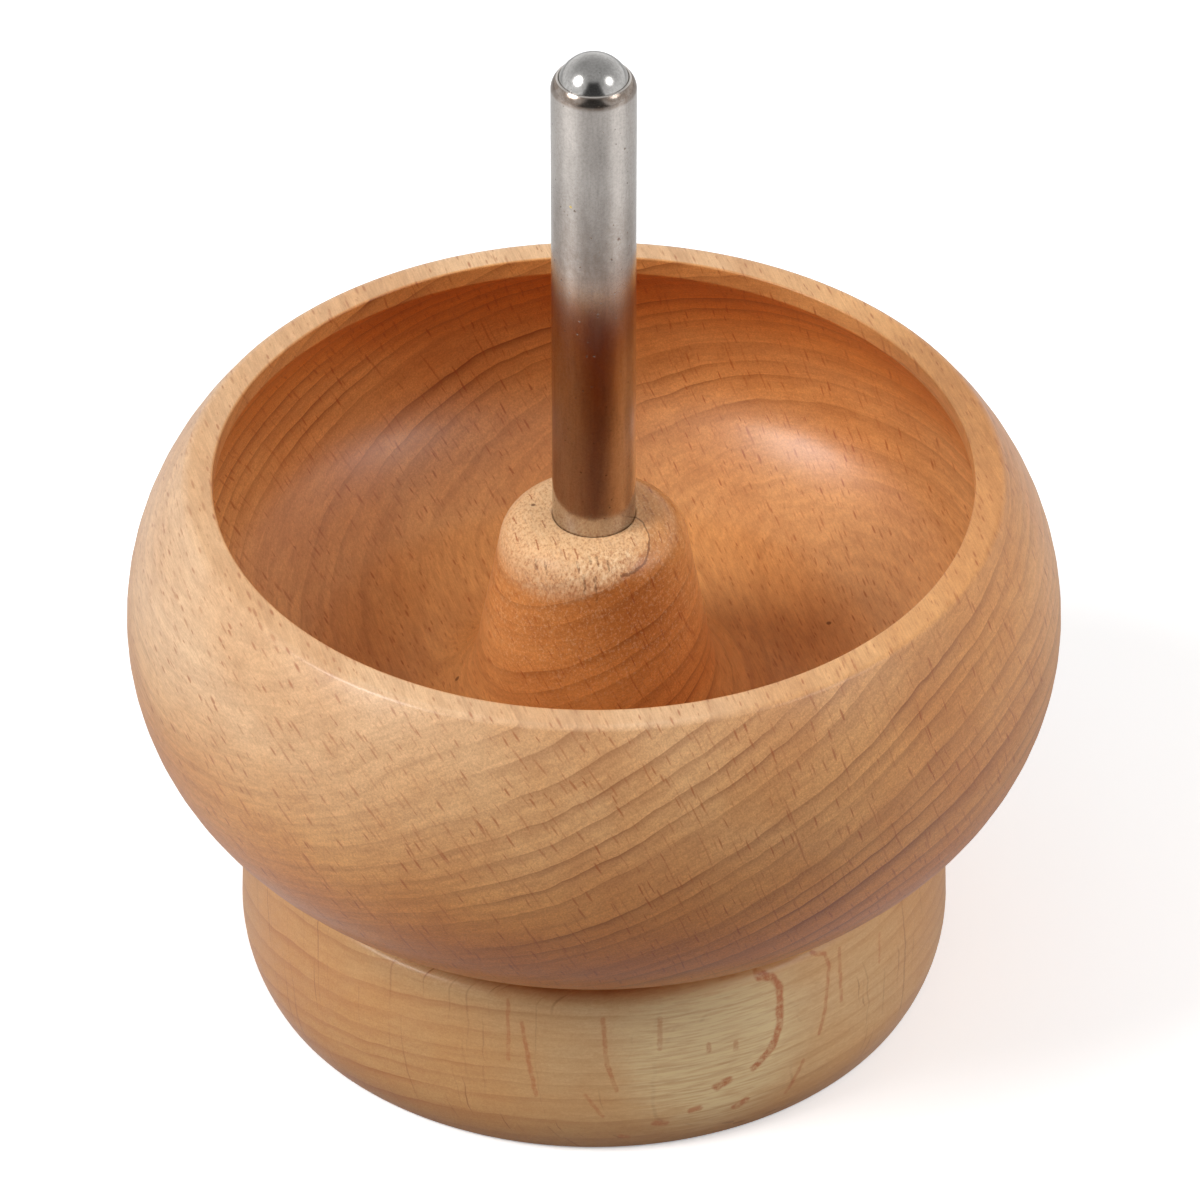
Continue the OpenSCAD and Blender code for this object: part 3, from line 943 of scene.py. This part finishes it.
class BEADSPINNER_OT_stage(bpy.types.Operator):
    """Sets the floor, the soft boxes, the room and the camera"""

    bl_idname = "beadspinner.stage"
    bl_label = "Stage"

    def execute(self, context):
        studio = context.scene.bead_spinner.studio
        self.floor(studio)
        self.room(context.scene, studio)
        self.soft_box(studio, -1, studio.left_power, studio.left_glint)
        self.soft_box(studio, 1, studio.right_power, studio.right_glint)
        self.panel(studio)
        self.camera(context.scene, studio)
        context.scene.view_settings.view_transform = "Standard"
        return {"FINISHED"}

    def floor(self, studio):
        """A plain pale floor, which polished metal sees darker behind, and with painted shade in
        front and close round the object
        """
        mesh = bmesh.new()
        bmesh.ops.create_grid(mesh, x_segments=1, y_segments=1, size=studio.floor_size / 2)
        data = bpy.data.meshes.new("floor")
        mesh.to_mesh(data)
        mesh.free()
        finish = Finish("floor_paper", roughness=1.0)
        spot = finish.add("TexCoord").outputs["Object"]
        ahead = finish.measure("DOT_PRODUCT", finish.vector("NORMALIZE", spot), (0, -1, 0))
        away = finish.measure("LENGTH", spot)
        # Painted shade, seen only in polished metal: darker in front and close round the object
        front = finish.fade(ahead, *AHEAD, studio.floor_mirror, studio.front_mirror)
        back = finish.fade(ahead, *BEHIND, 1.0, studio.back_mirror)
        close = finish.fade(away, *CLOSE, studio.close_mirror, 1.0)
        mirror = finish.product(front, back, close)
        seen = finish.add("LightPath").outputs
        shown = finish.highest(
            seen["Is Camera Ray"], seen["Is Glossy Ray"], seen["Is Transmission Ray"]
        )
        tone = finish.fade(seen["Is Glossy Ray"], 0.0, 1.0, 1.0, mirror)
        finish.set("Base Color", finish.mix(shown, solid([studio.floor_bounce] * 3), tone))
        finish.set("Emission Color", tone)
        far = finish.fade(away, *FAR, studio.floor_white, 1.0)
        white = finish.fade(seen["Is Camera Ray"], 0.0, 1.0, studio.floor_glow, far)
        finish.set("Emission Strength", finish.math("MULTIPLY", shown, white))
        finish.set("Specular IOR Level", 0)
        data.materials.append(finish.material)
        floor = bpy.data.objects.new("floor", data)
        bpy.context.scene.collection.objects.link(floor)

    def room(self, scene, studio):
        """A dim room, pale overhead and behind, white to the eye and grey to polished metal"""
        world = bpy.data.worlds.new("room")
        world.use_nodes = True
        world.node_tree.nodes.clear()
        room = Nodes(world.node_tree)
        x, y, z = room.split(room.add("TexCoord").outputs["Generated"])
        overhead = room.fade(z, *OVER, studio.surround, studio.overhead)
        behind = room.product(room.fade(y, *BACK), room.fade(z, *BACK_RISE), studio.behind)
        glow = room.math("ADD", overhead, behind)
        sideways = room.math("ABSOLUTE", x)
        narrow = room.math("DIVIDE", sideways, room.math("SUBTRACT", GAP_LEAN, z))
        gap = room.product(
            room.fade(y, *FRONT), room.fade(narrow, *GAP_SIDES), room.fade(z, *GAP_TOP)
        )
        mirror = room.fade(z, *MIRROR_RISE, studio.mirror, studio.mirror * studio.top_mirror)
        mirror = room.product(mirror, room.fade(gap, 0.0, 1.0, 1.0, studio.gap_mirror))
        seen = room.add("LightPath").outputs
        tone = room.fade(seen["Is Glossy Ray"], 0.0, 1.0, glow, mirror)
        shown = room.highest(seen["Is Camera Ray"], seen["Is Transmission Ray"])
        strength = room.fade(shown, 0.0, 1.0, tone, 1.0)
        light = room.add("Background", {"Color": (1, 1, 1, 1), "Strength": strength})
        room.add("OutputWorld", {"Surface": light.outputs[0]})
        scene.world = world

    def lamp(self, name, studio, aim, reach, power, width, depth=0.0):
        """A lamp that looks at the bowl, round unless it has a depth"""
        light = bpy.data.lights.new(name, "AREA")
        light.shape = "RECTANGLE" if depth else "DISK"
        light.size = width
        light.size_y = depth or width
        light.energy = power
        lamp = bpy.data.objects.new(name, light)
        lamp.location = Vector((0, 0, studio.aim_height)) + aim * reach
        lamp.rotation_euler = aim.to_track_quat("Z", "Y").to_euler()
        bpy.context.scene.collection.objects.link(lamp)
        return lamp

    def soft_box(self, studio, side, power, glint_power):
        """A round soft box, whose glint is made apart from its light"""
        level = math.cos(studio.box_rise)
        aim = Vector((
            side * level * math.cos(studio.box_turn),
            -level * math.sin(studio.box_turn),
            math.sin(studio.box_rise),
        ))
        reach = studio.box_reach
        box = self.lamp("soft_box", studio, aim, reach, power, studio.box_size)
        box.visible_glossy = False
        nearer = GLINT_REACH * reach
        glint = self.lamp("soft_box_glint", studio, aim, nearer, glint_power, studio.glint_size)
        glint.visible_diffuse = False

    def panel(self, studio):
        """A wide pale panel at the right that gloss doesn't see"""
        aim = Vector((math.cos(studio.panel_rise), 0, math.sin(studio.panel_rise)))
        panel = self.lamp(
            "side_panel", studio, aim, studio.box_reach, studio.panel_power, studio.panel_width,
            studio.panel_depth,
        )
        panel.visible_glossy = False

    def camera(self, scene, studio):
        """A long lens that looks down on the bowl"""
        lens = bpy.data.cameras.new("camera")
        lens.lens = studio.lens
        lens.sensor_width = SENSOR
        lens.clip_start = NEAREST
        camera = bpy.data.objects.new("camera", lens)
        camera.location = studio.camera_place
        camera.rotation_euler = (studio.camera_tilt, 0, 0)
        scene.collection.objects.link(camera)
        scene.camera = camera


class BEADSPINNER_OT_base(bpy.types.Operator):
    """Turns the base"""

    bl_idname = "beadspinner.base"
    bl_label = "Base"

    def execute(self, context):
        sizes = context.scene.bead_spinner.base
        low = Vector((sizes.diameter / 2 - sizes.tuck_radius, sizes.widest_height))
        high = Vector((sizes.diameter / 2 - sizes.side_radius, sizes.widest_height))
        foot = edge_centre(low, sizes.tuck_radius, sizes.foot_round, sizes.foot_round)
        top = edge_centre(
            high, sizes.side_radius, sizes.top_round, sizes.height - sizes.top_round
        )
        web_top = rod_low.z
        outline = Outline(sizes.counterbore / 2, 0, sizes.corner)
        outline.line(foot.x, 0)
        outline.arc(foot, heading(low, foot) + math.pi / 2)
        outline.arc(low, -heading(low, foot))
        outline.arc(high, heading(high, top))
        outline.arc(top, math.pi / 2 - heading(high, top))
        outline.lines(
            (sizes.rod_hole / 2, sizes.height),
            (sizes.rod_hole / 2, web_top),
            (sizes.screw_hole / 2, web_top),
            (sizes.screw_hole / 2, sizes.counterbore_depth),
            (sizes.counterbore / 2, sizes.counterbore_depth),
        )
        outline.close()
        wood = beech_base(context.scene.bead_spinner.base_figure)
        piece = finish_piece(outline.turn(), "turned_base", wood)
        seat(piece, "stand", "base")
        return {"FINISHED"}


class BEADSPINNER_OT_bowl(bpy.types.Operator):
    """Turns the bowl with its hollow and its centre cone"""

    bl_idname = "beadspinner.bowl"
    bl_label = "Bowl"

    def execute(self, context):
        sizes = context.scene.bead_spinner.bowl
        bore = context.scene.bead_spinner.spindle.diameter / 2
        outline = Outline(bore, bowl_low.z, sizes.corner)
        self.outside(outline, sizes)
        self.hollow(outline, sizes)
        self.cone(outline, sizes, bore)
        outline.close()
        wood = beech_bowl(context.scene.bead_spinner.bowl_figure)
        piece = finish_piece(outline.turn(), "turned_bowl", wood)
        seat(piece, "spinner", "bowl")
        return {"FINISHED"}

    def outside(self, outline, sizes):
        """Draws from the foot up to the rim's face"""
        radius, sweep = sizes.diameter / 2, sizes.lower_sweep
        widest = bowl_low.z + sizes.widest_height
        foot_radius = (sizes.widest_height - sizes.lower_radius * math.sin(sweep)) / (
            1 - math.sin(sweep)
        )
        low = Vector((radius - sizes.lower_radius, widest))
        foot = along(low, sizes.lower_radius - foot_radius, -sweep)
        high = Vector((radius - sizes.upper_radius, widest))
        rim = edge_centre(
            high, sizes.upper_radius, sizes.rim_round, bowl_high.z - sizes.rim_round
        )
        outline.line(foot.x, bowl_low.z)
        outline.arc(foot, math.pi / 2 - sweep)
        outline.arc(low, sweep)
        outline.arc(high, heading(high, rim))
        outline.arc(rim, math.pi / 2 - heading(high, rim))

    def hollow(self, outline, sizes):
        """Draws from the rim's face down to the hollow's floor"""
        mouth = outline.pen.co.x - sizes.rim_width
        reach = sizes.diameter / 2 - sizes.wall
        lip_low = bowl_high.z - sizes.lip_height
        widest = bowl_high.z - sizes.hollow_depth
        out, up = reach - mouth, lip_low - widest
        under_radius = (out**2 + up**2) / (2 * out)
        sweep = sizes.side_sweep
        side = Vector((reach - sizes.side_radius, widest))
        depth = widest - bowl_low.z - sizes.floor
        bottom_radius = (depth - sizes.side_radius * math.sin(sweep)) / (1 - math.sin(sweep))
        bottom = along(side, sizes.side_radius - bottom_radius, -sweep)
        outline.lines((mouth, bowl_high.z), (mouth, lip_low))
        outline.arc(Vector((reach - under_radius, widest)), -math.asin(up / under_radius))
        outline.arc(side, -sweep)
        outline.arc(bottom, sweep - math.pi / 2)

    def cone(self, outline, sizes, bore):
        """Draws from the hollow's floor up the cone to the sleeve's bore"""
        floor = bowl_low.z + sizes.floor
        top = floor + sizes.cone_height
        taper = sizes.taper
        shoulder = Vector((sizes.cone_top / 2, top - sizes.shoulder_radius))
        flank = along(shoulder, sizes.shoulder_radius, taper)
        root_z = floor + sizes.root_radius
        root_x = flank.x + (
            sizes.root_radius + (flank.y - root_z) * math.sin(taper)
        ) / math.cos(taper)
        root = Vector((root_x, root_z))
        outline.line(root.x, floor)
        outline.arc(root, taper - math.pi / 2)
        outline.line(flank.x, flank.y)
        outline.arc(shoulder, math.pi / 2 - taper)
        outline.lines((bore, top), (bore, bowl_low.z))


class BEADSPINNER_OT_sleeve(bpy.types.Operator):
    """Turns the sleeve with its top rolled in over the ball"""

    bl_idname = "beadspinner.sleeve"
    bl_label = "Sleeve"

    def execute(self, context):
        settings = context.scene.bead_spinner
        sizes = settings.spindle
        radius = sizes.diameter / 2
        bore = sizes.ball / 2 + sizes.ball_play
        centre_z = (ball_low.z + ball_high.z) / 2
        lip_rise = sleeve_high.z - centre_z
        outline = Outline(radius, sleeve_low.z, sizes.corner)
        outline.line(radius, centre_z)
        crimp = Vector((radius - sizes.crimp_radius, centre_z))
        outline.arc(crimp, math.asin(lip_rise / sizes.crimp_radius))
        outline.line(math.sqrt(bore**2 - lip_rise**2), sleeve_high.z)
        outline.arc(Vector((0, centre_z)), -math.asin(lip_rise / bore))
        outline.line(bore, sleeve_low.z)
        outline.close()
        steel = plated_sleeve(settings.steel)
        piece = finish_piece(outline.turn(), "rolled_sleeve", steel)
        seat(piece, "spinner", "spindle_sleeve")
        return {"FINISHED"}


class BEADSPINNER_OT_ball(bpy.types.Operator):
    """Makes the polished ball that the bowl hangs from"""

    bl_idname = "beadspinner.ball"
    bl_label = "Ball"

    def execute(self, context):
        settings = context.scene.bead_spinner
        mesh = bmesh.new()
        radius = settings.spindle.ball / 2
        bmesh.ops.create_icosphere(mesh, subdivisions=BALL_SPLITS, radius=radius)
        centre_z = (ball_low.z + ball_high.z) / 2
        bmesh.ops.translate(mesh, vec=(0, 0, centre_z), verts=mesh.verts)
        look = settings.steel
        steel = plated_steel("polished_ball", look.ball, look.ball_roughness).material
        piece = finish_piece(mesh, "polished_ball", steel)
        seat(piece, "pivot", "pivot_ball")
        return {"FINISHED"}


class BEADSPINNER_OT_axle(bpy.types.Operator):
    """Makes the fixed rod, and the screw and washer that hold it down"""

    bl_idname = "beadspinner.axle"
    bl_label = "Axle"

    def execute(self, context):
        settings = context.scene.bead_spinner
        self.rod(settings)
        self.washer(settings)
        self.screw(settings)
        return {"FINISHED"}

    def rod(self, settings):
        """The ground rod with a chamfered tip and a tapped foot"""
        sizes, tap = settings.spindle, settings.screw.diameter / 2
        radius, chamfer = rod_high.x, sizes.tip_chamfer
        outline = Outline(tap, rod_low.z, sizes.corner)
        outline.lines(
            (radius, rod_low.z),
            (radius, rod_high.z - chamfer),
            (radius - chamfer, rod_high.z),
            (0, rod_high.z),
            (0, rod_low.z + sizes.tap_depth),
            (tap, rod_low.z + sizes.tap_depth),
        )
        outline.close()
        look = settings.steel
        steel = plated_steel("ground_rod", look.rod, look.rod_roughness).material
        piece = finish_piece(outline.turn(), "ground_rod", steel)
        seat(piece, "stand", "axle_rod")

    def washer(self, settings):
        """The flat washer under the screw's head"""
        hole = settings.screw.washer_hole / 2
        outline = Outline(hole, washer_low.z, settings.spindle.corner)
        outline.lines(
            (washer_high.x, washer_low.z), (washer_high.x, washer_high.z), (hole, washer_high.z)
        )
        outline.close()
        look = settings.steel
        zinc = plated_steel("zinc_washer", look.zinc, look.washer_roughness).material
        piece = finish_piece(outline.turn(), "flat_washer", zinc)
        seat(piece, "stand", "axle_washer")

    def screw(self, settings):
        """The hidden screw, which keeps its mesh and gets its plating"""
        look = settings.steel
        zinc = plated_steel("zinc_screw", look.zinc, look.screw_roughness).material
        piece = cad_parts["axle_screw"]
        piece.data.materials.clear()
        piece.data.materials.append(zinc)


class BEADSPINNER_PT_panel(bpy.types.Panel):
    """Lists the pieces with their sizes and finishes"""

    bl_idname = "BEADSPINNER_PT_panel"
    bl_label = "Bead spinner"
    bl_space_type = "VIEW_3D"
    bl_region_type = "UI"
    bl_category = "Bead spinner"

    def draw(self, context):
        settings = context.scene.bead_spinner
        for operator in MAKERS:
            self.layout.operator(operator.bl_idname)
        for name in SpinnerSettings.__annotations__:
            group = getattr(settings, name)
            box = self.layout.box()
            box.label(text=name.replace("_", " ").capitalize())
            for prop in group.bl_rna.properties:
                if prop.identifier not in ("rna_type", "name"):
                    box.prop(group, prop.identifier)


MAKERS = (
    BEADSPINNER_OT_stage,
    BEADSPINNER_OT_base,
    BEADSPINNER_OT_axle,
    BEADSPINNER_OT_bowl,
    BEADSPINNER_OT_sleeve,
    BEADSPINNER_OT_ball,
)
GROUPS = (
    BaseSizes,
    BowlSizes,
    SpindleSizes,
    ScrewSizes,
    BowlFigure,
    BaseFigure,
    SteelFinish,
    StudioSetup,
    SpinnerSettings,
)


def register():
    for kind in GROUPS + MAKERS + (BEADSPINNER_PT_panel,):
        bpy.utils.register_class(kind)
    bpy.types.Scene.bead_spinner = PointerProperty(type=SpinnerSettings)


def unregister():
    del bpy.types.Scene.bead_spinner
    for kind in reversed(GROUPS + MAKERS + (BEADSPINNER_PT_panel,)):
        bpy.utils.unregister_class(kind)


def main():
    """Registers the add-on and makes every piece"""
    register()
    bpy.ops.beadspinner.stage()
    bpy.ops.beadspinner.base()
    bpy.ops.beadspinner.axle()
    bpy.ops.beadspinner.bowl()
    bpy.ops.beadspinner.sleeve()
    bpy.ops.beadspinner.ball()


if __name__ == "__main__":
    main()
